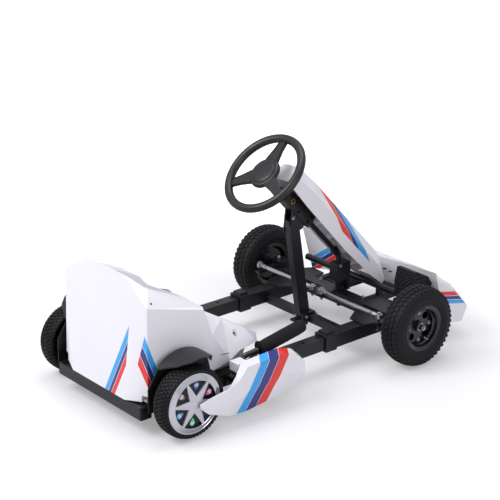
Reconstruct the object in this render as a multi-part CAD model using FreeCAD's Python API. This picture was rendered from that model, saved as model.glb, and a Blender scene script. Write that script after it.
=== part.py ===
import FreeCAD, Part
import math
import os

V = FreeCAD.Vector
os.makedirs("parts", exist_ok=True)

# Whole vehicle: X forward, Y left, Z up, millimetres, drawn from the rear axle line on the ground
CENTRE_SHIFT = -528.5      # moves the drawing so that the overall box is centred on the origin
WHEELBASE = 845.0
REAR_TRACK = 580.0
FRONT_TRACK = 720.0

# Wheels
REAR_R = 110.0
REAR_W = 62.0
REAR_RIM_R = 93.0
FRONT_R = 130.0
FRONT_W = 78.0
FRONT_RIM_R = 75.0
SPOKES = 7

# Tube frame
TUBE = 40.0
WALL = 2.5
BAR_X0 = -111.0
BAR_Z0 = 48.0
BAR_HALF = 207.0
RAIL_Z0 = 75.0
RAIL_Y = 208.0             # centre line of a side rail
RAIL_X1 = WHEELBASE - 155.0
SLEEVE = 46.0
CROSS_X = WHEELBASE - 140.0    # centre line of the tube that carries the post
CROSS_Z0 = 72.0
CROSS_TUBE = 26.0
BEAM_X0 = WHEELBASE - TUBE / 2
BEAM_Z0 = 98.0
GAP = 0.3                  # seat between neighbouring pieces
RUN = 0.05                 # radial play of a shaft in its bore
OPEN_PLAY = 2.7            # play of the open outer ball joint of a tie rod
SLEEVE_LEN = 244.7
SLEEVE_X1 = BEAM_X0 - GAP
SLEEVE_X0 = SLEEVE_X1 - SLEEVE_LEN

# Steering
HUB = V(WHEELBASE - 328.0, 0.0, 617.0)
COLUMN_X = WHEELBASE
JOINT_Z = 262.0
WHEEL_R = 129.5            # centre circle of the hand rim
WHEEL_TUBE = 13.5
SHAFT_R = 8.0
LOWER_R = 9.0
ARM = 92.0                 # pitman arm and knuckle arms, pin to pin
PITMAN_Y = 22.0
KINGPIN_Y = FRONT_TRACK / 2 - 64.0
TIE_Y = KINGPIN_Y - 10.0
BEAM_HALF = KINGPIN_Y - 34.0
TIE_Z = 162.0
KINGPIN_R = 8.0
PIN_R = 4.0                # ball joint pins of the tie rods
EYE_R = 10.5
SPINDLE_R = 6.0


def box(x0, y0, z0, x1, y1, z1):
    return Part.makeBox(x1 - x0, y1 - y0, z1 - z0, V(x0, y0, z0))


def cyl(r, p, q):
    p = V(*p)
    q = V(*q)
    return Part.makeCylinder(r, (q - p).Length, p, q - p)


def fuse(parts):
    body = parts[0].fuse(parts[1:]) if len(parts) > 1 else parts[0]
    tidy = body.removeSplitter()
    return tidy if tidy.isValid() else body


def flip(shape):
    return shape.mirror(V(0, 0, 0), V(0, 1, 0))


def wire(points):
    pts = [V(*p) for p in points]
    return Part.makePolygon(pts + [pts[0]])


def skin(sections):
    return Part.makeLoft([wire(s) for s in sections], True, True)


def plate(points, direction):
    return Part.Face(wire(points)).extrude(V(*direction))


def facets(corners, faces):
    # a solid from named corners, every face a flat polygon or a fan of triangles
    made = []
    for names in faces:
        pts = [V(*corners[n]) for n in names]
        for i in range(1, len(pts) - 1):
            tri = [pts[0], pts[i], pts[i + 1]]
            made.append(Part.Face(Part.makePolygon(tri + [tri[0]])))
    body = Part.makeSolid(Part.makeShell(made))
    if body.Volume < 0:
        body.reverse()
    return body.removeSplitter()


def bent_rod(points, radius, bend):
    # a round rod along a path of straight runs joined by arcs
    pts = [V(*p) for p in points]
    edges = []
    start = pts[0]
    for before, corner, after in zip(pts, pts[1:], pts[2:]):
        u = (before - corner).normalize()
        w = (after - corner).normalize()
        half = u.getAngle(w) / 2
        trim = bend / math.tan(half)
        mid_dir = (u + w).normalize()
        mid = corner + mid_dir * (bend / math.sin(half) - bend)
        a, b = corner + u * trim, corner + w * trim
        edges.append(Part.LineSegment(start, a).toShape())
        edges.append(Part.Arc(a, mid, b).toShape())
        start = b
    edges.append(Part.LineSegment(start, pts[-1]).toShape())
    path = Part.Wire(edges)
    circle = Part.Wire(Part.makeCircle(radius, pts[0], pts[1] - pts[0]))
    return path.makePipeShell([circle], True, False)


def ring_profile(points, y_axis_at):
    # a (radius, y) outline turned round a wheel axle
    x, z = y_axis_at
    face = Part.Face(wire([(x, y, z + r) for r, y in points]))
    return face.revolve(V(x, 0, z), V(0, 1, 0), 360)


def save(name, shape):
    shape = shape.copy()
    shape.translate(V(CENTRE_SHIFT, 0, 0))
    shape.exportStep("parts/" + name + ".step")


def save_pair(name, right):
    save(name + "_right", right)
    save(name + "_left", flip(right))


# Seat shell: corners of the right half, mirrored for the left
TOP_X = -67.0
SHELL = {
    "a": (-111.0, 131.0, 88.3), "b": (-86.5, 139.0, 290.0),
    "c": (-75.0, 203.0, 384.0), "d": (TOP_X, 89.0, 450.0),
    "e": (-82.0, 207.0, 98.0), "f": (171.0, 213.0, 134.0),
    "n": (168.0, 213.0, 176.0), "m": (150.0, 213.0, 245.0),
    "g": (120.0, 210.0, 331.0), "h": (-38.0, 160.0, 418.0),
    "i": (41.0, 185.0, 378.0), "w": (126.0, 198.0, 335.0),
    "j": (150.0, 118.0, 302.0), "k": (184.0, 125.0, 283.0),
    "p": (238.0, 145.0, 251.0), "q": (296.0, 175.0, 216.0),
    "l": (330.0, 195.0, 197.0), "o": (329.0, 200.0, 169.0),
    "r": (260.0, 205.0, 162.0), "s": (221.0, 207.0, 141.0),
}
SIDE_FACES = ["aecb", "efnmgc", "cgwih", "chd", "gmkjw", "mns", "nfs",
              "mspk", "srp", "rqp", "roq", "olq"]
CROSS_PAIRS = ["ae", "ef", "fs", "sr", "ro", "ol", "lq", "qp", "pk",
               "kj", "jw", "wi", "ih", "hd"]
corners = {}
for key, (x, y, z) in SHELL.items():
    corners[key + "R"] = (x, -y, z)
    corners[key + "L"] = (x, y, z)
faces = [["dR", "dL", "cL", "bL", "aL", "aR", "bR", "cR"]]
for names in SIDE_FACES:
    faces.append([n + "R" for n in names])
    faces.append([n + "L" for n in names])
for a, b in CROSS_PAIRS:
    faces.append([a + "R", b + "R", b + "L", a + "L"])
PAN_Z = 118.0
pan_block = plate([(-60, -165, 90), (262, -165, 90), (300, -165, 112), (322, -165, 176), (-60, -165, 176)],
                  (0, 330, 0))
hull = facets(corners, faces).fuse(pan_block)
PAN = [(25, 95), (150, 98), (400, 150)]
MOUTH = [(-45, 130), (150, 112), (400, 190)]
bucket = skin([[(x, -y, PAN_Z) for x, y in PAN] + [(x, y, PAN_Z) for x, y in reversed(PAN)],
               [(x, -y, 490) for x, y in MOUTH] + [(x, y, 490) for x, y in reversed(MOUTH)]])
shell = hull.cut(bucket)
for side in (-1, 1):
    y0 = side * RAIL_Y - TUBE / 2 - GAP
    shell = shell.cut(box(-200, y0, 0, 500, y0 + TUBE + 2 * GAP, RAIL_Z0 + TUBE + GAP))
    shell = shell.cut(cyl(6.0, (262, side * 176, 120), (262, side * 176, 300)))
shell = shell.cut(box(-300, -300, 0, BAR_X0 + TUBE + GAP, 300, BAR_Z0 + TUBE + GAP))
save("seat_shell", shell.removeSplitter())


# Rear crossbar, side rails with their length holes, seat crossbar
def square_tube_x(x0, x1, y, z0, size, wall):
    outer = box(x0, y - size / 2, z0, x1, y + size / 2, z0 + size)
    return outer.cut(box(x0 - 1, y - size / 2 + wall, z0 + wall, x1 + 1, y + size / 2 - wall, z0 + size - wall))


bar = box(BAR_X0, -BAR_HALF, BAR_Z0, BAR_X0 + TUBE, BAR_HALF, BAR_Z0 + TUBE)
save("rear_crossbar", bar)
HOLE_X = [SLEEVE_X0 - 74.0, SLEEVE_X0 - 14.0]
HOLE_R = 5.0
rail = square_tube_x(BAR_X0 + TUBE, RAIL_X1, -RAIL_Y, RAIL_Z0, TUBE, WALL)
for x in HOLE_X:
    rail = rail.cut(cyl(HOLE_R, (x, -RAIL_Y, RAIL_Z0 - 5), (x, -RAIL_Y, RAIL_Z0 + TUBE + 5)))
save_pair("side_rail", rail)
save("seat_crossbar", box(120, -RAIL_Y + TUBE / 2, RAIL_Z0, 150, RAIL_Y - TUBE / 2, RAIL_Z0 + 14.7))

# Front sleeves that the rails slide into, each with a clamp collar and its block on top
SLEEVE_Z0 = RAIL_Z0 + TUBE / 2 - SLEEVE / 2
COLLAR = 54.0
COLLAR_X = 46.0
COLLAR_Z0 = RAIL_Z0 + TUBE / 2 - COLLAR / 2
sleeve = square_tube_x(SLEEVE_X0, SLEEVE_X1, -RAIL_Y, SLEEVE_Z0, SLEEVE, 2.7)
collar = square_tube_x(SLEEVE_X0, SLEEVE_X0 + COLLAR_X, -RAIL_Y, COLLAR_Z0, COLLAR, 6.7)
block = box(SLEEVE_X0 + 6, -RAIL_Y - 18, COLLAR_Z0 + COLLAR - 1, SLEEVE_X0 + COLLAR_X - 6, -RAIL_Y + 18, COLLAR_Z0 + COLLAR + 9)
save_pair("rail_sleeve", fuse([sleeve, collar, block]))

# Cross tube between the sleeves
cross_y = RAIL_Y - SLEEVE / 2
cross_top = CROSS_Z0 + CROSS_TUBE
half = CROSS_TUBE / 2
save("cross_tube", box(CROSS_X - half, -cross_y, CROSS_Z0, CROSS_X + half, cross_y, cross_top))

# Steering post: saddle on the cross tube, leaning tube
POST_LEAN = math.radians(8.9)
POST_LEN = 339.0
lean = V(-math.sin(POST_LEAN), 0, math.cos(POST_LEAN))
side = V(math.cos(POST_LEAN), 0, math.sin(POST_LEAN))
base = V(CROSS_X - 15, 0, cross_top)


def post_point(across, up):
    return base + side * across + lean * up


ends = [post_point(-20, -12), post_point(20, -12), post_point(20, POST_LEN), post_point(-20, POST_LEN)]
post = plate([(p.x, -12.5, p.z) for p in ends], (0, 25, 0))
post = post.cut(box(CROSS_X - 200, -50, -50, CROSS_X + 200, 50, cross_top + GAP))
CLAMP = half + GAP         # clamp plates stand this far from the tube's centre line
SADDLE_Y = 26.0
low = CROSS_Z0 - 8
saddle = fuse([box(CROSS_X - CLAMP - 22, -SADDLE_Y, cross_top + GAP, CROSS_X + CLAMP + 5, SADDLE_Y, cross_top + 6),
               box(CROSS_X - CLAMP - 5, -SADDLE_Y, low, CROSS_X - CLAMP, SADDLE_Y, cross_top + 6),
               box(CROSS_X + CLAMP, -SADDLE_Y, low, CROSS_X + CLAMP + 5, SADDLE_Y, cross_top + 6),
               box(CROSS_X - CLAMP - 22, -SADDLE_Y, low + 4, CROSS_X - CLAMP, -SADDLE_Y + 6, cross_top + 6),
               box(CROSS_X - CLAMP - 32, 6, low + 6, CROSS_X - CLAMP, SADDLE_Y, low + 13),
               box(CROSS_X + CLAMP, -SADDLE_Y, low + 6, CROSS_X + CLAMP + 34, -6, low + 13)])
save("steering_post", fuse([post, saddle]))

# Steering axis from the hub down to the universal joint
joint = V(COLUMN_X, 0, JOINT_Z)
down = (joint - HUB).normalize()
REACH = (joint - HUB).Length
back = V(down.z, 0, -down.x)       # square to the axis, towards the driver and down


def on_axis(t, off=0.0, y=0.0):
    return HUB + down * t + back * off + V(0, y, 0)


def axis_block(t0, t1, off0, off1, y0, y1):
    pts = [on_axis(t0, off0), on_axis(t1, off0), on_axis(t1, off1), on_axis(t0, off1)]
    return plate([(p.x, y0, p.z) for p in pts], (0, y1 - y0, 0))


# Column bearing block with its bracket on the post and the fairing spacer
HOUSE = 22.0
FAIR_FRONT = 95.0          # fairing front face from the steering axis at the column
SKIN = 4.0                 # plastic skins
top = post_point(0, POST_LEN)
house = axis_block(132, 282, -HOUSE, HOUSE, -HOUSE, HOUSE)
spacer = axis_block(200, 250, -FAIR_FRONT + SKIN + GAP, -HOUSE, -12, 12)
cheeks = []
for y0 in (-18.0, 12.5 + GAP):
    low = [post_point(-26, POST_LEN - 42), post_point(24, POST_LEN - 42)]
    up = [on_axis(262, 0), on_axis(168, 0)]
    cheeks.append(plate([(p.x, y0, p.z) for p in low + up], (0, 5.5 - GAP, 0)))
housing = fuse([house, spacer] + cheeks)
housing = housing.cut(Part.makeCylinder(SHAFT_R + RUN, 400, on_axis(50), down))
housing = housing.cut(post)
save("column_housing", housing)

RIM_T = 16.0
# Steering wheel: hand rim, three spokes and a domed pad, one with the hub
rim = Part.makeTorus(WHEEL_R, WHEEL_TUBE, on_axis(RIM_T), down)
boss = Part.makeCylinder(30, 34, on_axis(-10), down).fuse(Part.makeCylinder(18, 30, on_axis(20), down))
spoke_parts = [rim, boss]
SPOKE_ANGLES = [5.0, 125.0, 245.0]
up_dir = back * -1
for angle in SPOKE_ANGLES:
    a = math.radians(angle)
    out = up_dir * math.cos(a) + V(0, 1, 0) * math.sin(a)
    across = down.cross(out)
    root0, root1 = HUB + down * 2 + out * 20, HUB + down * (RIM_T - 5) + out * (WHEEL_R - 6)
    sections = []
    for p, half, thick in ((root0, 25.0, 14.0), (root1, 12.0, 9.0)):
        sections.append([p + across * half, p + across * -half,
                         p + across * -half + down * thick, p + across * half + down * thick])
    spoke_parts.append(Part.makeLoft([Part.makePolygon(s + [s[0]]) for s in sections], True, True))
hand = fuse(spoke_parts).cut(Part.makeCylinder(SHAFT_R, 60, on_axis(22), down))
save("steering_wheel", hand)

# Upper shaft and its yoke
shaft = Part.makeCylinder(SHAFT_R, REACH - 22 - 10, on_axis(22), down)
yoke = Part.makeCylinder(13, 22, on_axis(REACH - 32), down)
save("steering_shaft", fuse([shaft, yoke]))

# Lower shaft: ball of the joint, stem and pitman plate with two pins
PITMAN_Z = 146.0
stem = cyl(LOWER_R, (COLUMN_X, 0, BEAM_Z0 + TUBE + 6.5), (COLUMN_X, 0, JOINT_Z - 4))
ball = Part.makeSphere(10 - GAP, joint)
tail = COLUMN_X - ARM
arm = plate([(COLUMN_X + 14, -16, PITMAN_Z), (COLUMN_X + 14, 16, PITMAN_Z),
             (tail + 8, PITMAN_Y + 13, PITMAN_Z), (tail - 12, PITMAN_Y + 13, PITMAN_Z),
             (tail - 12, -PITMAN_Y - 13, PITMAN_Z), (tail + 8, -PITMAN_Y - 13, PITMAN_Z)], (0, 0, 7))
pins = [cyl(PIN_R, (tail, s * PITMAN_Y, PITMAN_Z), (tail, s * PITMAN_Y, TIE_Z + 11)) for s in (-1, 1)]
save("pitman_shaft", fuse([stem, ball, arm] + pins))

# Lower column bracket on the axle beam: two plates joined at the front
beam_top = BEAM_Z0 + TUBE
COL_TOP = 236.0
bracket = fuse([box(COLUMN_X - 22, -22, beam_top, COLUMN_X + 34, 22, beam_top + 6),
                box(COLUMN_X + 20, -22, beam_top, COLUMN_X + 34, 22, COL_TOP),
                box(COLUMN_X - 20, -20, COL_TOP - 60, COLUMN_X + 34, 20, COL_TOP)])
bracket = bracket.cut(cyl(LOWER_R + RUN, (COLUMN_X, 0, beam_top + 6), (COLUMN_X, 0, 300)))
save("column_bracket", bracket)

# Tie rods: tube with an eye at each end round the pins
for side, word in ((-1, "right"), (1, "left")):
    y_in, y_out = side * PITMAN_Y, side * TIE_Y
    parts = [cyl(6.5, (tail, y_in + side * 34, TIE_Z), (tail, y_out - side * 34, TIE_Z)),
             cyl(4.0, (tail, y_in + side * 8, TIE_Z), (tail, y_out - side * 8, TIE_Z))]
    eyes = [cyl(EYE_R, (tail, y, TIE_Z - 5), (tail, y, TIE_Z + 5)) for y in (y_in, y_out)]
    rod = fuse(parts + eyes)
    for y, play in ((y_in, RUN), (y_out, OPEN_PLAY)):
        rod = rod.cut(cyl(PIN_R + play, (tail, y, TIE_Z - 20), (tail, y, TIE_Z + 20)))
    save("tie_rod_" + word, rod)

# Axle beam with its end forks, kingpins and front wing plates
fork_low, fork_high = FRONT_R - 30.0, FRONT_R + 30.0
beam = [box(BEAM_X0, -BEAM_HALF, BEAM_Z0, BEAM_X0 + TUBE, BEAM_HALF, beam_top)]
for side in (-1, 1):
    y0, y1 = sorted((side * BEAM_HALF, side * (BEAM_HALF + 8)))
    beam.append(box(BEAM_X0, y0, BEAM_Z0 - 4, BEAM_X0 + TUBE + 4, y1, fork_high))
    y0, y1 = sorted((side * (BEAM_HALF + 4), side * (KINGPIN_Y + 16)))
    for z in (fork_low - 7, fork_high - 7):
        beam.append(box(BEAM_X0, y0, z, BEAM_X0 + TUBE + 4, y1, z + 7))
    beam.append(cyl(KINGPIN_R, (WHEELBASE, side * KINGPIN_Y, fork_low - 10), (WHEELBASE, side * KINGPIN_Y, fork_high + 3)))
    front = BEAM_X0 + TUBE
    wing = [(front, side * (BEAM_HALF - 130)), (front + 46, side * (BEAM_HALF - 122)), (front + 52, side * (BEAM_HALF - 62)),
            (front, side * (BEAM_HALF - 30))]
    beam.append(plate([(x, y, beam_top - 6) for x, y in wing], (0, 0, 6)))
    rib_y = side * (BEAM_HALF - 76)
    beam.append(box(front, rib_y - 3, BEAM_Z0 + 6, front + 40, rib_y + 3, beam_top - 5))
save("axle_beam", fuse(beam))

# Gussets between the sleeves and the beam
gusset_z = SLEEVE_Z0 + SLEEVE + GAP
inner, outer = -RAIL_Y + SLEEVE / 2, -RAIL_Y - SLEEVE / 2
GUSSET = [(BEAM_X0 - 89, inner + 12), (BEAM_X0 - GAP, inner + 68), (BEAM_X0 - GAP, outer - 20), (BEAM_X0 - 55, outer - 20),
          (BEAM_X0 - 89, outer - 4)]
gusset = plate([(x, y, gusset_z) for x, y in GUSSET], (0, 0, 5))
save_pair("gusset", gusset)

# Knuckle: barrel on the kingpin, spindle, arm with its pin
bz0, bz1 = fork_low + GAP, fork_high - 7 - GAP
ky = -KINGPIN_Y
knuckle = [cyl(14, (WHEELBASE, ky, bz0), (WHEELBASE, ky, bz1)),
           cyl(SPINDLE_R, (WHEELBASE, ky, FRONT_R), (WHEELBASE, -FRONT_TRACK / 2 - 26, FRONT_R)),
           cyl(12, (WHEELBASE, ky, FRONT_R), (WHEELBASE, -FRONT_TRACK / 2 + 32, FRONT_R)),
           cyl(10, (WHEELBASE, -FRONT_TRACK / 2 - 18, FRONT_R), (WHEELBASE, -FRONT_TRACK / 2 - 26, FRONT_R)),
           plate([(WHEELBASE, ky - 12, 134), (WHEELBASE, ky + 12, 134), (WHEELBASE - ARM - 12, -TIE_Y + 11, 134),
                  (WHEELBASE - ARM - 12, -TIE_Y - 11, 134)], (0, 0, 8)),
           cyl(PIN_R, (WHEELBASE - ARM, -TIE_Y, 134), (WHEELBASE - ARM, -TIE_Y, TIE_Z + 11))]
knuckle = fuse(knuckle).cut(cyl(KINGPIN_R + RUN, (WHEELBASE, ky, 0), (WHEELBASE, ky, 300)))
save_pair("knuckle", knuckle)

# Front wheels: black steel rim with hub, and tyre
fy = -FRONT_TRACK / 2
half = FRONT_W / 2
FRIM = [(62, fy - 30), (FRONT_RIM_R, fy - 33), (FRONT_RIM_R, fy - 29), (66, fy - 26), (66, fy + 26),
        (FRONT_RIM_R, fy + 29), (FRONT_RIM_R, fy + 33), (62, fy + 30)]
rim_body = ring_profile(FRIM, (WHEELBASE, FRONT_R))
disc = cyl(63, (WHEELBASE, fy - 8, FRONT_R), (WHEELBASE, fy - 3, FRONT_R))
hub = cyl(18, (WHEELBASE, fy - 17.7, FRONT_R), (WHEELBASE, fy + 31.7, FRONT_R))
for i in range(4):
    a = math.radians(45 + 90 * i)
    hole = (WHEELBASE + 41 * math.cos(a), FRONT_R + 41 * math.sin(a))
    disc = disc.cut(cyl(12, (hole[0], fy - 20, hole[1]), (hole[0], fy + 20, hole[1])))
rim_body = fuse([rim_body, disc, hub]).cut(cyl(SPINDLE_R + RUN, (WHEELBASE, fy - 60, FRONT_R), (WHEELBASE, fy + 60, FRONT_R)))
save_pair("front_rim", rim_body)
LUG_H = 4.0
FRONT_LUGS = 20


def tyre_outline(y, tread, shoulder, inner):
    # closed (radius, y) outline of a tyre whose tread stands at the given radius
    edge, low = shoulder
    return inner[:3] + [(low, y - edge), (tread - 22, y - edge + 1), (tread - 7, y - edge + 8), (tread, y - edge + 20),
                        (tread, y + edge - 20), (tread - 7, y + edge - 8), (tread - 22, y + edge - 1), (low, y + edge)] + inner[3:]


def lugs(x, y, radius, count, rows, deep):
    # blocks round the tread, one row each side of the middle, the second row half a pitch on
    made = []
    for phase, y0, y1, long in rows:
        for i in range(count):
            lug = box(-long / 2, y + y0, -radius - 3, long / 2, y + y1, deep - radius)
            lug.rotate(V(0, 0, 0), V(0, 1, 0), 360.0 * (i + phase) / count)
            lug.translate(V(x, 0, radius))
            made.append(lug)
    return Part.Compound(made)


FBEAD = [(66, fy - 25.7), (FRONT_RIM_R, fy - 28.7), (FRONT_RIM_R + 1, fy - 33),
         (FRONT_RIM_R + 1, fy + 33), (FRONT_RIM_R, fy + 28.7), (66, fy + 25.7)]
whole = ring_profile(tyre_outline(fy, FRONT_R, (half, 92), FBEAD), (WHEELBASE, FRONT_R))
carcass = ring_profile(tyre_outline(fy, FRONT_R - LUG_H, (half, 92), FBEAD), (WHEELBASE, FRONT_R))
blocks = whole.common(lugs(WHEELBASE, fy, FRONT_R, FRONT_LUGS, [(0, -34, -4, 24), (0.5, 4, 34, 24)], 16))
save_pair("front_tyre", fuse([carcass] + blocks.Solids))

# Rear wheels: spoked rim, drum motor, tyre, fixed axle with its clamp
ry = -REAR_TRACK / 2
half = REAR_W / 2
DISH_R = 62.0              # inner edge of the polished face
RRIM = [(DISH_R, ry - 22), (DISH_R + 5, ry - 24.5), (REAR_RIM_R - 6, ry - 28), (REAR_RIM_R, ry - 28), (REAR_RIM_R, ry - 23),
        (88, ry - 22), (88, ry + 26), (84, ry + 26), (84, ry - 14), (DISH_R, ry - 14)]
rim_parts = [ring_profile(RRIM, (0, REAR_R)), cyl(17, (0, ry - 27, REAR_R), (0, ry - 16, REAR_R))]
for i in range(SPOKES):
    a = math.radians(90 + 360.0 * i / SPOKES)
    out = V(math.cos(a), 0, math.sin(a))
    across = V(-math.sin(a), 0, math.cos(a))
    sections = []
    for r, wide, y0, y1 in ((10.0, 5.0, ry - 26, ry - 16), (DISH_R + 3, 10.0, ry - 23.5, ry - 14)):
        p = V(0, 0, REAR_R) + out * r
        sections.append([p + across * wide + V(0, y0, 0), p - across * wide + V(0, y0, 0),
                         p - across * wide + V(0, y1, 0), p + across * wide + V(0, y1, 0)])
    rim_parts.append(Part.makeLoft([Part.makePolygon(s + [s[0]]) for s in sections], True, True))
save_pair("rear_rim", fuse(rim_parts))
drum = fuse([cyl(79.7, (0, ry - 13.7, REAR_R), (0, ry - 9, REAR_R)), cyl(72, (0, ry - 9, REAR_R), (0, ry + 27, REAR_R))])
drum = drum.cut(cyl(SHAFT_R + RUN, (0, ry + 3, REAR_R), (0, ry + 60, REAR_R)))
save_pair("hub_motor", drum)
REAR_LUGS = 24
REAR_LUG_H = 3.0


def rear_outline(tread):
    return [(88, ry - 21.7), (REAR_RIM_R + 0.3, ry - 22.7), (REAR_RIM_R + 1, ry - half + 1), (tread - 9, ry - half),
            (tread - 3, ry - half + 5), (tread, ry - half + 12), (tread, ry + half - 12), (tread - 3, ry + half - 5),
            (tread - 9, ry + half), (90, ry + half - 2), (88, ry + half - 5)]


whole = ring_profile(rear_outline(REAR_R), (0, REAR_R))
carcass = ring_profile(rear_outline(REAR_R - REAR_LUG_H), (0, REAR_R))
blocks = whole.common(lugs(0, ry, REAR_R, REAR_LUGS, [(0, -28, -3, 16), (0.5, 3, 28, 16)], 9))
save_pair("rear_tyre", fuse([carcass] + blocks.Solids))
PLATE_Y = -RAIL_Y - TUBE / 2
PLATE_T = 3.0
clamp = box(-24, PLATE_Y - PLATE_T - GAP - 20, RAIL_Z0 + 2, 24, PLATE_Y - PLATE_T - GAP, REAR_R + 22)
axle = fuse([clamp, cyl(SHAFT_R, (0, PLATE_Y - PLATE_T - 10, REAR_R), (0, ry + 4, REAR_R))])
save_pair("rear_axle", axle)

# Fenders: upright plate on the rail and a leaf over the tyre
ARCH = (22.0, 128.0)
ARCH_R = 118.0
ARCH_T = 3.5
arch_y1 = PLATE_Y - PLATE_T
leaf_ring = cyl(ARCH_R, (ARCH[0], PLATE_Y, ARCH[1]), (ARCH[0], -318, ARCH[1]))
leaf_ring = leaf_ring.cut(cyl(ARCH_R - ARCH_T, (ARCH[0], PLATE_Y + 1, ARCH[1]), (ARCH[0], -319, ARCH[1])))
LEAF = [(-66, PLATE_Y), (-62, -240), (-38, -292), (-8, -318), (48, -318), (92, -284), (124, -240), (124, PLATE_Y)]
leaf = leaf_ring.common(plate([(x, y, 150) for x, y in LEAF], (0, 0, 200)))
PLATE_PTS = [(-96, 78), (96, 78), (118, 150), (112, 190)]
upright = plate([(x, PLATE_Y - PLATE_T, z) for x, z in
                 [(-98, 76), (100, 76), (126, 150), (118, 186), (96, 215), (62, 236), (22, 244), (-20, 236), (-58, 210),
                  (-98, 150)]], (0, PLATE_T, 0))
save_pair("fender", fuse([leaf, upright]))

# Side pods: thin skin through a few stations, closed at the front
POD = [(8, 98, 108, 331, 110), (41, 69, 114, 331, 118), (115, 40, 124, 331, 128), (150, 33, 143, 318, 150),
       (182, 31, 177, 303, 181), (323, 45, 180, 300, 184), (374, 52, 157, 300, 168), (402, 58, 130, 300, 143)]
sections = []
for x, low, fold, y_top, z_top in POD:
    mid = (low + fold) / 2
    sections.append([(x, -(331 if x < 130 else 324), low), (x, -(335 if x < 130 else 338), mid), (x, -335, fold),
                     (x, -y_top, z_top), (x, -y_top, z_top - SKIN), (x, -335 + SKIN, fold - SKIN),
                     (x, -(335 if x < 130 else 338) + SKIN, mid), (x, -(331 if x < 130 else 324) + SKIN, low)])
pod = skin(sections)
x, low, fold, y_top, z_top = POD[-1]
cap = plate([(x - 4, -324, low), (x - 4, -338, (low + fold) / 2), (x - 4, -335, fold), (x - 4, -y_top, z_top),
             (x - 4, -268, z_top - 4), (x - 4, -268, low + 10)], (4, 0, 0))
ARM_X = [236.0, 330.0]
STRAP_Y = -325.0
pads = [box(x, STRAP_Y - 8, 84, x + 20, STRAP_Y, 116) for x in ARM_X]
lug = box(168, -304, 150, 206, -268, 177.5)
save_pair("side_pod", fuse([pod, cap, lug] + pads))

# Pod brackets: two arms out from the rail with a strap behind the pod skin
arms = []
for x in ARM_X:
    arms.append(box(x, STRAP_Y + GAP, RAIL_Z0 + 5, x + 20, PLATE_Y, RAIL_Z0 + 25))
    arms.append(box(x, STRAP_Y + GAP, 84, x + 20, STRAP_Y + GAP + 5, 116))
arms.append(box(ARM_X[0], -262, RAIL_Z0 + 5, ARM_X[1] + 20, -250, RAIL_Z0 + 25))
save_pair("pod_bracket", fuse(arms))

# Hand lever: bent tube on a pivot bracket, foam grip
LEVER_Y = -246.0
PIVOT = (198.0, 103.0)
LEVER_R = 9.0
PATH = [PIVOT, (232.0, 162.0), (286.0, 166.0), (462.0, 196.0)]
tube_parts = [bent_rod([(x, LEVER_Y, z) for x, z in PATH], LEVER_R, 30.0),
              cyl(13, (PIVOT[0], LEVER_Y - 11, PIVOT[1]), (PIVOT[0], PLATE_Y - 6 - GAP, PIVOT[1]))]
SECOND = [(205.0, 100.0), (230.0, 112.0), (254.0, 140.0), (292.0, 160.0)]
tube_parts.append(bent_rod([(x, LEVER_Y, z) for x, z in SECOND], 6.0, 16.0))
lever = fuse(tube_parts).cut(cyl(5 + RUN, (PIVOT[0], -300, PIVOT[1]), (PIVOT[0], -200, PIVOT[1])))
xg, zg = PATH[-2]
xh, zh = PATH[-1]
GRIP_R = 21.0
grip_dir = V(xh - xg, 0, zh - zg).normalize()
g0 = V(xg, LEVER_Y, zg) + grip_dir * 14
grip = Part.makeCylinder(GRIP_R, 176, g0, grip_dir).fuse(Part.makeCylinder(GRIP_R + 3, 6, g0, grip_dir))
lever = lever.cut(Part.makeCylinder(60, 400, g0 + grip_dir * 160, grip_dir))
core = Part.makeCylinder(LEVER_R, 162, g0 - grip_dir, grip_dir)
save("hand_lever", lever)
save("lever_grip", grip.cut(core))
pivot_pin = [box(PIVOT[0] - 16, PLATE_Y - 6, RAIL_Z0 + 4, PIVOT[0] + 16, PLATE_Y, RAIL_Z0 + 36),
             cyl(5, (PIVOT[0], PLATE_Y - 5, PIVOT[1]), (PIVOT[0], LEVER_Y - 14, PIVOT[1])),
             cyl(9, (PIVOT[0], LEVER_Y - 11.3, PIVOT[1]), (PIVOT[0], LEVER_Y - 16, PIVOT[1]))]
save("lever_bracket", fuse(pivot_pin))

# Nose fairing: channel open to the driver, stations square to the steering axis
FAIR = [(80, 22, 42, -24, -76, 30), (100, 24, 50, -18, -88, 34), (195, 24, 60, -9, -FAIR_FRONT, 37),
        (255, 24, 60, -8, -FAIR_FRONT, 37), (440, 24, 61, -5, -FAIR_FRONT, 37), (600, 22, 62, -12, -96, 40),
        (668, 22, 62, -22, -72, 34)]
sections = []
for t, flat, wide, rear, front, chamfer in FAIR:
    row = [(-wide, rear), (-wide, front + chamfer), (-flat, front), (flat, front), (wide, front + chamfer), (wide, rear),
           (wide - SKIN, rear), (wide - SKIN, front + chamfer + 2), (flat - 2, front + SKIN), (-flat + 2, front + SKIN),
           (-wide + SKIN, front + chamfer + 2), (-wide + SKIN, rear)]
    sections.append([on_axis(t, off, y) for y, off in row])
fairing = Part.makeLoft([Part.makePolygon(s + [s[0]]) for s in sections], True, True)
t, flat, wide, rear, front, chamfer = FAIR[0]
lid = [(-wide, rear), (-wide, front + chamfer), (-flat, front), (flat, front), (wide, front + chamfer), (wide, rear)]
lid = [on_axis(t, off, y) for y, off in lid]
lid = Part.Face(Part.makePolygon(lid + [lid[0]])).extrude(down * 4)
save("nose_fairing", fuse([fairing, lid]))

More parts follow.
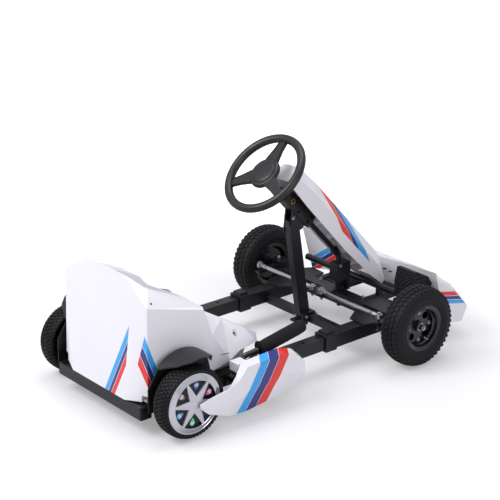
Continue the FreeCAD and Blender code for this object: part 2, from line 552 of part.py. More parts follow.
# Front bumper: solid sections from the middle to the swept ends, (ahead of its rear wall, height)
BUMPER_X0 = WHEELBASE + 199.0
SWEPT = FRONT_TRACK / 2 - 40.0     # half width, clear of the steered tyres
BUMPER = [(0, [(0, 96), (0, 204), (34, 199), (78, 172), (124, 118), (108, 58)]),
          (150, [(0, 92), (0, 216), (28, 205), (72, 172), (118, 118), (102, 54)]),
          (SWEPT - 58, [(-12, 82), (-14, 228), (2, 210), (56, 172), (106, 116), (86, 50)]),
          (SWEPT, [(-22, 72), (-72, 240), (-32, 212), (8, 182), (78, 110), (56, 62)])]
sections = []
for y, pts in [(-y, p) for y, p in reversed(BUMPER)] + BUMPER[1:]:
    sections.append([(BUMPER_X0 + x, y, z) for x, z in pts])
bumper = skin(sections)
save("front_bumper", bumper)

# Nose frame: two runners from the beam to the bumper, equipment tray and pedal bar across them
RUN_Y = 90.0
RUNNER = 24.0
runner_top = BEAM_Z0 + 2 + RUNNER
nose = []
for side in (-1, 1):
    y0 = side * RUN_Y - RUNNER / 2
    nose.append(box(BEAM_X0 + TUBE, y0, BEAM_Z0 + 2, BUMPER_X0 - 10, y0 + RUNNER, runner_top))
nose.append(box(BUMPER_X0 - 22, -RUN_Y - RUNNER / 2, BEAM_Z0 + 2, BUMPER_X0 - GAP, RUN_Y + RUNNER / 2, runner_top))
save("nose_frame", fuse(nose))
TRAY = (10.0, BEAM_HALF - 132.0)    # ribbed equipment tray on the left runner
TRAY_LEN = 112.0
tray = [box(BEAM_X0 + TUBE + GAP, TRAY[0], runner_top + GAP, BEAM_X0 + TUBE + TRAY_LEN, TRAY[1], runner_top + 4),
        box(BEAM_X0 + TUBE + 4, TRAY[1] - 22, runner_top + 2, BEAM_X0 + TUBE + TRAY_LEN, TRAY[1], runner_top + 13)]
for i in range(7):
    x = BEAM_X0 + TUBE + 8 + 15 * i
    tray.append(box(x, TRAY[0] + 4, runner_top + 3, x + 6, TRAY[1] - 20, runner_top + 9))
save("floor_tray", fuse(tray).cut(fuse(nose)))
PBAR = (WHEELBASE + 101.0, 152.0)
PBAR_R = 11.0
pedal_bar = [cyl(PBAR_R, (PBAR[0], -262, PBAR[1]), (PBAR[0], 262, PBAR[1]))]
for side in (-1, 1):
    y0 = side * RUN_Y - 8
    foot = runner_top if side < 0 else runner_top + 9
    pedal_bar.append(box(PBAR[0] - 8, y0, foot, PBAR[0] + 8, y0 + 16, PBAR[1]))
save("pedal_bar", fuse(pedal_bar))

# Foot pedal on the right: wedge block with its tread face towards the driver, (ahead of the bar, height)
PED = [(-16, 150), (58, 160), (76, 192), (58, 220), (8, 248), (-8, 250), (-19, 200)]
PEDAL_Y = -254.0
PEDAL_W = 78.0
pedal = plate([(PBAR[0] + x, PEDAL_Y, z) for x, z in PED], (0, PEDAL_W, 0))
pedal = pedal.cut(cyl(PBAR_R + GAP, (PBAR[0], -400, PBAR[1]), (PBAR[0], 0, PBAR[1])))
pedal = pedal.cut(box(0, -400, 0, PBAR[0] + 400, 0, PBAR[1]))
save("pedal_right", pedal)
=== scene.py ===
import math

import bmesh
import bpy
from mathutils import Matrix, Vector


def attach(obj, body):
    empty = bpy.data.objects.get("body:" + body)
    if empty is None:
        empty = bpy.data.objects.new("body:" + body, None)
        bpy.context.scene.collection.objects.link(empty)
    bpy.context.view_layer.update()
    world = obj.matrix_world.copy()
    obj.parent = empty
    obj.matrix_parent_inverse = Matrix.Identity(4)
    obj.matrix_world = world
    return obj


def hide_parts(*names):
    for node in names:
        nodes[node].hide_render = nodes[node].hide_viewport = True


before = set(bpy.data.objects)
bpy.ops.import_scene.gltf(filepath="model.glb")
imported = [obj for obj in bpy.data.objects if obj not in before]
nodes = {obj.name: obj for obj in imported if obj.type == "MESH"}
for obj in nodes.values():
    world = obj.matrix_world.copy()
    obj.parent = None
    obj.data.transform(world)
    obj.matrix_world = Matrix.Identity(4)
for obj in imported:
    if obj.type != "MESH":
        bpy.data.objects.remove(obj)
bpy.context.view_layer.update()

# The view: a long lens behind the driver's right shoulder, as the kart is photographed on
# a white paper roll. The camera stands where the vanishing lines of wheels and rails put it.
yaw = math.radians(50.09)
pitch = math.radians(20.86)
look = Vector((math.cos(pitch) * math.cos(yaw), math.cos(pitch) * math.sin(yaw), -math.sin(pitch)))
camera = bpy.data.objects.new("camera", bpy.data.cameras.new("camera"))
bpy.context.scene.collection.objects.link(camera)
camera.location = (-2.9593, -3.4672, 2.0904)
camera.rotation_euler = look.to_track_quat("-Z", "Y").to_euler()
camera.data.sensor_width = 36.0
camera.data.lens = 112.77
camera.data.clip_end = 100.0
bpy.context.scene.camera = camera
bpy.context.scene.view_settings.view_transform = "Standard"


def linear(hex_colour):
    channels = [int(hex_colour[i:i + 2], 16) / 255 for i in (1, 3, 5)]
    return tuple(c / 12.92 if c <= 0.04045 else ((c + 0.055) / 1.055) ** 2.4 for c in channels) + (1.0,)


def add_node(owner, kind, inputs=None, **settings):
    node = owner.node_tree.nodes.new(kind)
    for name, value in settings.items():
        setattr(node, name, value)
    for key, value in (inputs or {}).items():
        if isinstance(value, bpy.types.NodeSocket):
            owner.node_tree.links.new(value, node.inputs[key])
        else:
            node.inputs[key].default_value = value
    return node


# Floor and light: matt white paper, one broad soft lamp from behind the seat, a weaker one
# on the driver's right and a pale room all round, so that the shadow stays soft and light.
# The paper's shine for the camera grows with the distance, from the kart to the far white.
PURE_WHITE = (1.0, 1.0, 1.0, 1.0)
floor_mesh = bmesh.new()
bmesh.ops.create_grid(floor_mesh, x_segments=1, y_segments=1, size=14.0)
floor_data = bpy.data.meshes.new("paper_floor")
floor_mesh.to_mesh(floor_data)
floor_mesh.free()
floor = bpy.data.objects.new("paper_floor", floor_data)
bpy.context.scene.collection.objects.link(floor)
paper = bpy.data.materials.new("matt_white_paper")
paper.use_nodes = True
paper_shader = paper.node_tree.nodes["Principled BSDF"]
paper_shader.inputs["Base Color"].default_value = linear("#CFCFD1")
paper_shader.inputs["Roughness"].default_value = 0.9
paper_shader.inputs["Specular IOR Level"].default_value = 0.1
paper_path = add_node(paper, "ShaderNodeLightPath")
paper_place = add_node(paper, "ShaderNodeTexCoord")
paper_far = add_node(paper, "ShaderNodeVectorMath", {0: paper_place.outputs["Object"]}, operation="LENGTH")
paper_veil = add_node(paper, "ShaderNodeMapRange", {
    "Value": paper_far.outputs["Value"], "From Min": 0.6, "From Max": 1.5, "To Min": 0.27,
    "To Max": 0.9}, interpolation_type="SMOOTHSTEP")
paper_share = add_node(paper, "ShaderNodeMath", {
    0: paper_path.outputs["Is Camera Ray"], 1: paper_veil.outputs[0]}, operation="MULTIPLY")
paper_shader.inputs["Emission Color"].default_value = PURE_WHITE
paper.node_tree.links.new(paper_share.outputs[0], paper_shader.inputs["Emission Strength"])
floor_data.materials.append(paper)

world = bpy.data.worlds.new("pale_room")
bpy.context.scene.world = world
world.use_nodes = True
room = world.node_tree.nodes["Background"]
room.inputs["Color"].default_value = (0.93, 0.94, 1.0, 1.0)
room.inputs["Strength"].default_value = 0.62
seen = add_node(world, "ShaderNodeBackground", {"Color": PURE_WHITE, "Strength": 1.0})
room_path = add_node(world, "ShaderNodeLightPath")
room_mix = add_node(world, "ShaderNodeMixShader", {
    0: room_path.outputs["Is Camera Ray"], 1: room.outputs[0], 2: seen.outputs[0]})
world.node_tree.links.new(room_mix.outputs[0], world.node_tree.nodes["World Output"].inputs["Surface"])

for name, place, aim, size, power in (
        ("broad_lamp", (-2.6, 0.9, 3.0), (0.0, 0.0, 0.25), 2.4, 84.0),
        ("right_lamp", (-0.4, -3.6, 1.9), (0.1, 0.0, 0.25), 2.0, 25.0),
        ("top_lamp", (0.6, 0.2, 3.6), (0.1, 0.0, 0.2), 2.6, 36.0)):
    lamp = bpy.data.lights.new(name, "AREA")
    lamp.shape = "DISK"
    lamp.size = size
    lamp.energy = power
    holder = bpy.data.objects.new(name, lamp)
    holder.location = place
    holder.rotation_euler = (Vector(aim) - Vector(place)).to_track_quat("-Z", "Y").to_euler()
    bpy.context.scene.collection.objects.link(holder)

# Tube frame: mild steel tube, mitred, welded and powder coated in charcoal black. The coat
# is a little uneven, softens every edge and reads bluish grey where light falls on it.
REAR_AXLE_X = -0.5285  # metres; the drawing counts X from the rear axle line
ROUNDED_BY = {
    3.0: ("rear_crossbar",),
    2.5: ("cross_tube", "column_housing"),
    2.0: ("steering_post", "column_bracket", "axle_beam", "nose_frame"),
    1.5: ("side_rail_left", "side_rail_right", "rail_sleeve_left", "rail_sleeve_right"),
    1.2: ("floor_tray", "pod_bracket_left", "pod_bracket_right"),
    1.0: ("seat_crossbar", "gusset_left", "gusset_right", "lever_bracket", "rear_axle_left",
          "rear_axle_right", "knuckle_left", "knuckle_right", "pitman_shaft"),
    0.0: ("pedal_bar", "steering_shaft")}


def at(x, y, z):
    # millimetres from the rear axle line on the floor, to the scene's metres
    return Vector((x * 0.001 + REAR_AXLE_X, y * 0.001, z * 0.001))


def finish(name, colour, roughness, metallic=0.0, sheen=0.5):
    material = bpy.data.materials.new(name)
    material.use_nodes = True
    shader = material.node_tree.nodes["Principled BSDF"]
    shader.inputs["Base Color"].default_value = linear(colour)
    shader.inputs["Roughness"].default_value = roughness
    shader.inputs["Metallic"].default_value = metallic
    shader.inputs["Specular IOR Level"].default_value = sheen
    return material, shader


def grain(material, shader, size_mm, strength, dark=None, light=None, rough=None):
    # surface unevenness of one size: height, and where given also tone and gloss
    place = add_node(material, "ShaderNodeTexCoord")
    noise = add_node(material, "ShaderNodeTexNoise", {
        "Vector": place.outputs["Object"], "Scale": 1000.0 / size_mm, "Detail": 3.0, "Roughness": 0.6})
    bump = add_node(material, "ShaderNodeBump", {
        "Height": noise.outputs["Fac"], "Strength": strength, "Distance": 0.0006})
    material.node_tree.links.new(bump.outputs["Normal"], shader.inputs["Normal"])
    if dark:
        broad = add_node(material, "ShaderNodeTexNoise", {
            "Vector": place.outputs["Object"], "Scale": 14.0, "Detail": 4.0})
        tone = add_node(material, "ShaderNodeMix", {
            "Factor": broad.outputs["Fac"], "A": linear(dark), "B": linear(light)}, data_type="RGBA")
        material.node_tree.links.new(tone.outputs["Result"], shader.inputs["Base Color"])
    if rough:
        gloss = add_node(material, "ShaderNodeMapRange", {
            "Value": noise.outputs["Fac"], "To Min": rough[0], "To Max": rough[1]})
        material.node_tree.links.new(gloss.outputs["Result"], shader.inputs["Roughness"])


def dress(name, material, rounding=0.0, segments=2):
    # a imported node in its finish; edges rounded by the coat or the mould
    piece = nodes[name]
    piece.data.materials.clear()
    piece.data.materials.append(material)
    if rounding:
        weld = piece.modifiers.new("weld", "WELD")
        weld.merge_threshold = 0.00002
        flat = piece.modifiers.new("flat", "DECIMATE")
        flat.decimate_type = "DISSOLVE"
        flat.angle_limit = math.radians(1.0)
        edge = piece.modifiers.new("edge", "BEVEL")
        edge.width = rounding * 0.001
        edge.segments = segments
        edge.limit_method = "ANGLE"
        edge.angle_limit = math.radians(24.0)
        edge.use_clamp_overlap = True
        shade = piece.modifiers.new("shade", "WEIGHTED_NORMAL")
        shade.mode = "FACE_AREA"
        shade.weight = 80
        shade.keep_sharp = False


powder_coat, powder_shader = finish("charcoal_powder_coat", "#101013", 0.36)
grain(powder_coat, powder_shader, 1.6, 0.22, "#0C0C0F", "#141418", (0.3, 0.44))
for rounding, names in ROUNDED_BY.items():
    for name in names:
        dress(name, powder_coat, rounding)

# Tube plugs: injection moulded caps pushed into the two ends of the rear crossbar, with a
# flange about three millimetres thick that stands before the tube's mouth.


def new_piece(name, mesh, material, body, angle=35.0):
    # a mesh as an object of its own, smooth up to the angle, with its materials and on its body
    limit = math.radians(angle)
    for face in mesh.faces:
        face.smooth = True
    for edge in mesh.edges:
        edge.smooth = len(edge.link_faces) != 2 or edge.calc_face_angle(0.0) < limit
    data = bpy.data.meshes.new(name)
    mesh.to_mesh(data)
    mesh.free()
    for one in material if isinstance(material, list) else [material]:
        data.materials.append(one)
    piece = bpy.data.objects.new(name, data)
    bpy.context.scene.collection.objects.link(piece)
    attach(piece, body)
    return piece


def block(mesh, low, high, turn=None):
    # a box between two corners in millimetres, turned about its own middle
    low, high = at(*low), at(*high)
    box = Matrix.Diagonal((*(high - low), 1.0))
    matrix = Matrix.Translation((low + high) / 2) @ (turn or Matrix.Identity(4)) @ box
    bmesh.ops.create_cube(mesh, size=1.0, matrix=matrix)


def round_edges(mesh, width, segments=2, angle=30.0):
    sharp = [e for e in mesh.edges if e.calc_face_angle(0.0) > math.radians(angle)]
    bmesh.ops.bevel(mesh, geom=sharp, offset=width * 0.001, segments=segments, profile=0.5,
                    affect="EDGES", material=-1, clamp_overlap=True)


cap_plastic, cap_shader = finish("moulded_black_nylon", "#0F0F11", 0.5, sheen=0.3)
grain(cap_plastic, cap_shader, 2.0, 0.15)
caps = bmesh.new()
for side in (-1, 1):
    y0, y1 = sorted((side * 207.2, side * 210.5))
    block(caps, (-110.0, y0, 49.0), (-72.0, y1, 87.0))
round_edges(caps, 1.5)
new_piece("crossbar_caps", caps, cap_plastic, "frame")

# Fasteners: zinc plated hexagon bolts, each with its washer, where one part of the steelwork
# is bolted to the next. The plating is pale and a little blue; cap screws are blackened.
zinc, zinc_shader = finish("bright_zinc_plate", "#B9BAC0", 0.3, 1.0)
grain(zinc, zinc_shader, 3.0, 0.12, "#A2A4AC", "#C9CACE", (0.22, 0.42))
black_oxide, oxide_shader = finish("black_oxide_steel", "#17171A", 0.35, 0.6)
grain(black_oxide, oxide_shader, 2.0, 0.1)
HEXAGON = 6
WASHER_THICK = 1.4
UP, RIGHT, LEFT = (0, 0, 1), (0, -1, 0), (0, 1, 0)
FRAME_BOLTS = (  # place, direction of the head, radius
    ((673, 17, 86), UP, 4.0), ((735, -16, 86), UP, 4.0), ((684, -26, 92), RIGHT, 4.0),
    ((635.5, -12.8, 444.5), RIGHT, 3.2), ((629.4, -18, 439.4), RIGHT, 3.2),
    ((635.5, 12.8, 444.5), LEFT, 3.2), ((629.4, 18, 439.4), LEFT, 3.2),
    ((836, -20, 229), RIGHT, 4.2), ((836, 20, 229), LEFT, 4.2), ((863, -101, 138), UP, 4.0),
    ((863, 101, 138), UP, 4.0), ((801, -231, 86), RIGHT, 3.6), ((801, 231, 86), LEFT, 3.6),
    ((845, -296, 163), UP, 5.0), ((845, 296, 163), UP, 5.0), ((198, -262, 103), RIGHT, 5.0),
    ((-12, -251, 122), RIGHT, 4.5), ((14, -251, 122), RIGHT, 4.5),
    ((-12, 251, 122), LEFT, 4.5), ((14, 251, 122), LEFT, 4.5))


def disc(mesh, place, direction, radius, thick, segments=24, far_radius=None):
    # a disc, cone or prism that stands on its place, in metres; its sizes in millimetres
    turn = Vector(direction).normalized().to_track_quat("Z", "Y").to_matrix().to_4x4()
    matrix = Matrix.Translation(place) @ turn @ Matrix.Translation((0, 0, thick * 0.0005))
    bmesh.ops.create_cone(mesh, cap_ends=True, segments=segments, radius1=radius * 0.001,
                          radius2=(far_radius or radius) * 0.001, depth=thick * 0.001, matrix=matrix)


def bolt(mesh, place, direction, radius, rise):
    # washer, hexagon head and the end of the thread, one on the other
    direction = Vector(direction).normalized()
    place = at(*place)
    on_washer = place + direction * (WASHER_THICK * 0.001)
    on_head = place + direction * ((WASHER_THICK + rise) * 0.001)
    disc(mesh, place, direction, radius * 1.45, WASHER_THICK)
    disc(mesh, on_washer, direction, radius, rise, HEXAGON, radius * 0.97)
    disc(mesh, on_head, direction, radius * 0.55, 2.0, 16, radius * 0.4)


frame_bolts = bmesh.new()
for place, direction, radius in FRAME_BOLTS:
    bolt(frame_bolts, place, direction, radius, radius * 0.8)
new_piece("frame_bolts", frame_bolts, zinc, "frame")

# Seat shell: one blow-moulded body in gloss white polyethylene, faceted like a racing tub.
# Painted bands of three colours climb its rear corners; the mould leaves soft edges.
SKY, INK, CORAL = "#3AA6EE", "#35357F", "#E8392F"
SHELL_TAPER = 7  # degrees that the seat's sides run in towards the front


def gloss_white(name, colour, shade):
    # white moulding with faint orange peel; returns the sockets that the bands need
    material, shader = finish(name, colour, 0.3)
    shader.inputs["Coat Weight"].default_value = 0.25
    shader.inputs["Coat Roughness"].default_value = 0.12
    place = add_node(material, "ShaderNodeTexCoord")
    peel = add_node(material, "ShaderNodeTexNoise", {
        "Vector": place.outputs["Object"], "Scale": 160.0, "Detail": 2.0})
    bump = add_node(material, "ShaderNodeBump", {
        "Height": peel.outputs["Fac"], "Strength": 0.05, "Distance": 0.0005})
    material.node_tree.links.new(bump.outputs["Normal"], shader.inputs["Normal"])
    cloud = add_node(material, "ShaderNodeTexNoise", {
        "Vector": place.outputs["Object"], "Scale": 5.0, "Detail": 3.0})
    tone = add_node(material, "ShaderNodeMix", {
        "Factor": cloud.outputs["Fac"], "A": linear(colour), "B": linear(shade)}, data_type="RGBA")
    material.node_tree.links.new(tone.outputs["Result"], shader.inputs["Base Color"])
    axes = add_node(material, "ShaderNodeSeparateXYZ", {"Vector": place.outputs["Object"]})
    return material, shader, axes, tone.outputs["Result"]


def calc(material, operation, first, second=0.0):
    return add_node(material, "ShaderNodeMath", {0: first, 1: second}, operation=operation).outputs[0]


def times(material, first, *others):
    for other in others:
        first = calc(material, "MULTIPLY", first, other)
    return first


def facing(material, axes):
    # how far a face looks away from the kart's middle plane, and how far it looks ahead
    geometry = add_node(material, "ShaderNodeNewGeometry")
    way = add_node(material, "ShaderNodeSeparateXYZ", {"Vector": geometry.outputs["Normal"]})
    side = calc(material, "SIGN", axes.outputs["Y"])
    return times(material, way.outputs["Y"], side), way.outputs["X"]


def paint_bands(material, under, measure, bands, where):
    # flat bands of colour where the measure, in metres, lies between two marks in millimetres
    colour = under
    for low, high, paint in bands:
        above = calc(material, "GREATER_THAN", measure, low * 0.001)
        below = calc(material, "LESS_THAN", measure, high * 0.001)
        colour = add_node(material, "ShaderNodeMix", {
            "Factor": times(material, above, below, where), "A": colour, "B": linear(paint)},
            data_type="RGBA").outputs["Result"]
    return colour


shell_white, shell_shader, axes, colour = gloss_white("gloss_white_polyethylene", "#F3F1F6", "#ECEAF1")
x_axle = calc(shell_white, "ADD", axes.outputs["X"], -REAR_AXLE_X)
y_out = calc(shell_white, "ABSOLUTE", axes.outputs["Y"])
z_up = axes.outputs["Z"]
right_hand = calc(shell_white, "LESS_THAN", axes.outputs["Y"], 0.0)
# right half of the rear face: bands that lean outwards as they rise
rise = calc(shell_white, "SUBTRACT", z_up, 0.09)
lean = calc(shell_white, "SUBTRACT", y_out, times(shell_white, rise, 0.415))
rear_face = times(shell_white, calc(shell_white, "LESS_THAN", x_axle, -0.07),
                  calc(shell_white, "LESS_THAN", y_out, 0.1275), right_hand)
colour = paint_bands(shell_white, colour, lean, [(35.5, 53, SKY), (54.5, 67, INK), (68.5, 85, CORAL)],
                     rear_face)
# rear corners: bands that wrap round the corner and end along a slanting line above
past_edge = calc(shell_white, "MAXIMUM", calc(shell_white, "ADD", x_axle, 0.08), 0.0)
spread = calc(shell_white, "ADD", y_out, times(shell_white, past_edge, 1.3))
climb = calc(shell_white, "ADD", spread, times(shell_white, z_up, 0.5))
slant = times(shell_white, calc(shell_white, "SUBTRACT", y_out, 0.153), 1.6)
under_slant = calc(shell_white, "SUBTRACT", slant, calc(shell_white, "SUBTRACT", z_up, 0.29))
beyond = calc(shell_white, "GREATER_THAN", x_axle, -0.062)
outward, ahead = facing(shell_white, axes)
corner = times(shell_white, calc(shell_white, "GREATER_THAN", under_slant, 0.0),
               calc(shell_white, "GREATER_THAN", y_out, 0.149), calc(shell_white, "LESS_THAN", x_axle, 0.06),
               calc(shell_white, "MAXIMUM", right_hand, beyond),
               calc(shell_white, "GREATER_THAN", outward, 0.1))
colour = paint_bands(shell_white, colour, climb,
                     [(279, 300, CORAL), (301.5, 322, INK), (323.5, 346.5, SKY)], corner)
shell_white.node_tree.links.new(colour, shell_shader.inputs["Base Color"])
dress("seat_shell", shell_white, 7.0, 4)

# slots and a small hole in the shell, drawn as dark blocks and a disc of painted shade
pits = bmesh.new()
for side in (-1, 1):
    taper = Matrix.Rotation(math.radians(-SHELL_TAPER * side), 4, "Z")
    disc(pits, at(-52.2, side * 191.9, 389.9), (0.14, side * 0.69, 0.71), 3.6, 0.5, 20)
    y = side * 171.0
    block(pits, (253.0, y - 1.2, 201.0), (269.0, y + 1.2, 207.0), taper)
    y = side * 209.4
    block(pits, (181.0, y - 0.9, 168.2), (217.0, y + 0.9, 169.8),
          taper @ Matrix.Rotation(math.radians(9), 4, "Y"))
round_edges(pits, 0.7)
# dark fill of painted shade for the slots and the hole, whose insides lie in shadow
hollow_shade, hollow_shade_shader = finish("shadowed_hollow", "#2A2830", 0.8)
grain(hollow_shade, hollow_shade_shader, 4.0, 0.1)
new_piece("shell_slots", pits, hollow_shade, "frame")

# Side pods: vacuum-formed covers in the same white, folded along their length. The three
# bands run up the side, bend at the fold and follow the top; the left pod mirrors the right.
FOLD_Z, FOLD_Y = 0.17, 0.334
pod_white, pod_shader, axes, colour = gloss_white("gloss_white_pod", "#F1EFF5", "#E9E7EF")
x_axle = calc(pod_white, "ADD", axes.outputs["X"], -REAR_AXLE_X)
y_out = calc(pod_white, "ABSOLUTE", axes.outputs["Y"])
up_side = times(pod_white, calc(pod_white, "MINIMUM", axes.outputs["Z"], FOLD_Z), 0.64)
past_fold = calc(pod_white, "MAXIMUM", calc(pod_white, "SUBTRACT", FOLD_Y, y_out), 0.0)
run = calc(pod_white, "SUBTRACT", calc(pod_white, "SUBTRACT", x_axle, up_side),
           times(pod_white, past_fold, 0.7))
outer = calc(pod_white, "GREATER_THAN", y_out, 0.296)
colour = paint_bands(pod_white, colour, run, [(119, 152, SKY), (153.5, 190, INK), (191.5, 229, CORAL)],
                     outer)
pod_white.node_tree.links.new(colour, pod_shader.inputs["Base Color"])
for word in ("left", "right"):
    dress("side_pod_" + word, pod_white, 1.8, 3)

# Nose fairing: a white channel moulding in front of the steering column, open towards the
# driver, with its bands wrapped over the chamfer of each side.
hub = Vector((517.0, 0.0, 617.0))
axis_down = Vector((328.0, 0.0, -355.0)).normalized()
axis_back = Vector((axis_down.z, 0.0, -axis_down.x))
CHAMFER_DEPTH = 0.095


def on_axis(t, off=0.0, y=0.0):
    # t down the steering axis from the hand wheel's hub, off square to it, in millimetres
    return hub + axis_down * t + axis_back * off + Vector((0.0, y, 0.0))


fairing_white, fairing_shader, axes, colour = gloss_white("gloss_white_fairing", "#EFEDF2", "#E6E4EA")
x_hub = calc(fairing_white, "SUBTRACT", axes.outputs["X"], REAR_AXLE_X + hub.x * 0.001)
z_hub = calc(fairing_white, "SUBTRACT", axes.outputs["Z"], hub.z * 0.001)
along = calc(fairing_white, "ADD", times(fairing_white, x_hub, axis_down.x),
             times(fairing_white, z_hub, axis_down.z))
depth = calc(fairing_white, "ADD", times(fairing_white, x_hub, axis_back.x),
             times(fairing_white, z_hub, axis_back.z))
y_out = calc(fairing_white, "ABSOLUTE", axes.outputs["Y"])
over_edge = calc(fairing_white, "MAXIMUM", calc(fairing_white, "ADD", depth, CHAMFER_DEPTH), 0.0)
chamfer = times(fairing_white, over_edge, 1.2)
skew = calc(fairing_white, "SUBTRACT", along, times(fairing_white, chamfer, 2.6))
outward, ahead = facing(fairing_white, axes)
low_side = times(fairing_white, calc(fairing_white, "LESS_THAN", chamfer, 0.066),
                 calc(fairing_white, "GREATER_THAN", y_out, 0.0205),
                 calc(fairing_white, "GREATER_THAN", outward, 0.05))
colour = paint_bands(fairing_white, colour, skew,
                     [(206, 276, CORAL), (278, 322, INK), (324, 394, SKY)], low_side)
fairing_white.node_tree.links.new(colour, fairing_shader.inputs["Base Color"])
dress("nose_fairing", fairing_white, 1.8, 3)

# Webs inside the fairing: thin cross walls of the same moulding, hollowed towards the shaft,
# which stiffen the channel and show from the driver's side.
WEB_OUTLINE = ((-20, -90), (20, -90), (56, -57), (56, -15), (42, -17), (26, -30), (0, -38), (-26, -30),
               (-42, -17), (-56, -15), (-56, -57))
HALF_WEB = 1.5
web_white = gloss_white("gloss_white_webs", "#EFEBE8", "#E6E1DE")[0]
webs = bmesh.new()
for t in (360.0, 440.0, 530.0, 600.0):
    upper, lower = [[webs.verts.new(at(*on_axis(t + half, off, y))) for y, off in WEB_OUTLINE]
                    for half in (-HALF_WEB, HALF_WEB)]
    webs.faces.new(upper)
    webs.faces.new(lower)
    for k in range(len(WEB_OUTLINE)):
        m = (k + 1) % len(WEB_OUTLINE)
        webs.faces.new((upper[k], upper[m], lower[m], lower[k]))
bmesh.ops.recalc_face_normals(webs, faces=webs.faces[:])
new_piece("fairing_webs", webs, web_white, "frame")

# Front bumper: a white moulding from wheel to wheel with swept ends. Its bands lie flat
# round each end, and two short slots on either side, drawn as dark blocks of painted shade, are moulded high
# in its rear wall.
bumper_white, bumper_shader, axes, colour = gloss_white("gloss_white_bumper", "#F3F1F4", "#E9E7EC")
y_out = calc(bumper_white, "ABSOLUTE", axes.outputs["Y"])
x_axle = calc(bumper_white, "ADD", axes.outputs["X"], -REAR_AXLE_X)
outward, ahead = facing(bumper_white, axes)
# behind, on the left: bands across the sloping back
back_left = times(bumper_white, calc(bumper_white, "LESS_THAN", ahead, -0.5),
                  calc(bumper_white, "GREATER_THAN", axes.outputs["Y"], 0.0))
rise = calc(bumper_white, "SUBTRACT", axes.outputs["Z"], 0.135)
across = calc(bumper_white, "ADD", y_out, times(bumper_white, rise, 1.3))
colour = paint_bands(bumper_white, colour, across,
                     [(214, 238, CORAL), (240, 262, INK), (264, 292, SKY)], back_left)
# ends: bands that lie along the sweep
reach = calc(bumper_white, "SUBTRACT", x_axle, 1.04)
drop = calc(bumper_white, "ADD", axes.outputs["Z"], times(bumper_white, reach, 0.24))
end = times(bumper_white, calc(bumper_white, "GREATER_THAN", y_out, 0.236),
            calc(bumper_white, "GREATER_THAN", outward, 0.2))
colour = paint_bands(bumper_white, colour, drop,
                     [(138, 151, SKY), (152.5, 164, INK), (165.5, 180, CORAL)], end)
bumper_white.node_tree.links.new(colour, bumper_shader.inputs["Base Color"])
dress("front_bumper", bumper_white, 7.0, 4)

# the bumper's slots: dark blocks of painted shade set into its rear wall
slots = bmesh.new()
for side in (-1, 1):
    bank = Matrix.Rotation(math.radians(side * 14), 4, "X")
    for y, z in ((side * 16, 166.0), (side * 42, 163.5)):
        block(slots, (1043.0, y - 9.0, z - 2.2), (1044.6, y + 9.0, z + 2.2), bank)
round_edges(slots, 0.8)
new_piece("bumper_slots", slots, hollow_shade, "frame")

# Fenders and pedal: glass-filled polypropylene, spark-eroded texture, satin and nearly black.
# The pedal is a rubber pad with a diamond tread, two sets of waves that cross at a right angle.
fender_black, fender_shader = finish("grained_black_polypropylene", "#141417", 0.42, sheen=0.45)
grain(fender_black, fender_shader, 1.4, 0.3, "#101012", "#19191C", (0.36, 0.52))
for word in ("left", "right"):
    dress("fender_" + word, fender_black, 1.5, 3)
TREAD_WAVES = 380.0  # radians a metre
pedal_black, pedal_shader = finish("diamond_tread_rubber", "#0F0F11", 0.5, sheen=0.4)
place = add_node(pedal_black, "ShaderNodeTexCoord")
axes = add_node(pedal_black, "ShaderNodeSeparateXYZ", {"Vector": place.outputs["Object"]})
up = times(pedal_black, axes.outputs["Z"], TREAD_WAVES)
over = times(pedal_black, axes.outputs["Y"], TREAD_WAVES)
ridge = calc(pedal_black, "MAXIMUM", calc(pedal_black, "SINE", calc(pedal_black, "ADD", up, over)),
             calc(pedal_black, "SINE", calc(pedal_black, "SUBTRACT", up, over)))
tread_bump = add_node(pedal_black, "ShaderNodeBump", {"Height": ridge, "Strength": 0.8, "Distance": 0.0025})
pedal_black.node_tree.links.new(tread_bump.outputs["Normal"], pedal_shader.inputs["Normal"])
dress("pedal_right", pedal_black, 5.0, 4)

# Front tyres: 3.00-4 pneumatic, black rubber. Wavy blocks run round the tread and square
# shoulder lugs reach down the sidewall, which has two moulded rings.
SIDES = ((-1, "right"), (1, "left"))
FRONT_X, FRONT_Y, FRONT_Z = 845.0, 360.0, 130.0
FRONT_OUTLINE = [
    (66, -25), (73, -29), (76, -34), (82, -37), (84, -38.6), (86, -37.6), (95, -39), (97, -40), (99, -39),
    (108, -38), (116, -35), (122, -30), (124.5, -20), (125.5, 0), (124.5, 20), (122, 30), (116, 35),
    (108, 38), (99, 39), (97, 40), (95, 39), (86, 37.6), (84, 38.6), (82, 37), (76, 34), (73, 29), (66, 25)]
FRONT_LUGS = (  # start in half steps, radius, y, size, skew, tilt
    (0.0, 126.2, -8.5, (13.0, 13.5, 5.2), 26.0, 3.0),
    (0.8, 126.2, 8.5, (13.0, 13.5, 5.2), -26.0, -3.0),
    (0.6, 123.0, -23.5, (11.5, 13.0, 5.4), -14.0, 14.0),
    (1.4, 123.0, 23.5, (11.5, 13.0, 5.4), 14.0, -14.0),
    (0.6, 116.4, -33.4, (9.5, 4.6, 8.5), 0.0, 24.0),
    (1.4, 116.4, 33.4, (9.5, 4.6, 8.5), 0.0, -24.0))
rubber, rubber_shader = finish("black_tyre_rubber", "#0D0D0F", 0.56, sheen=0.28)
grain(rubber, rubber_shader, 2.5, 0.2, "#0A0A0C", "#111113", (0.46, 0.66))
dusty, dusty_shader = finish("tread_rubber", "#101012", 0.6, sheen=0.3)
grain(dusty, dusty_shader, 3.0, 0.2, "#0C0C0E", "#161619", (0.5, 0.72))


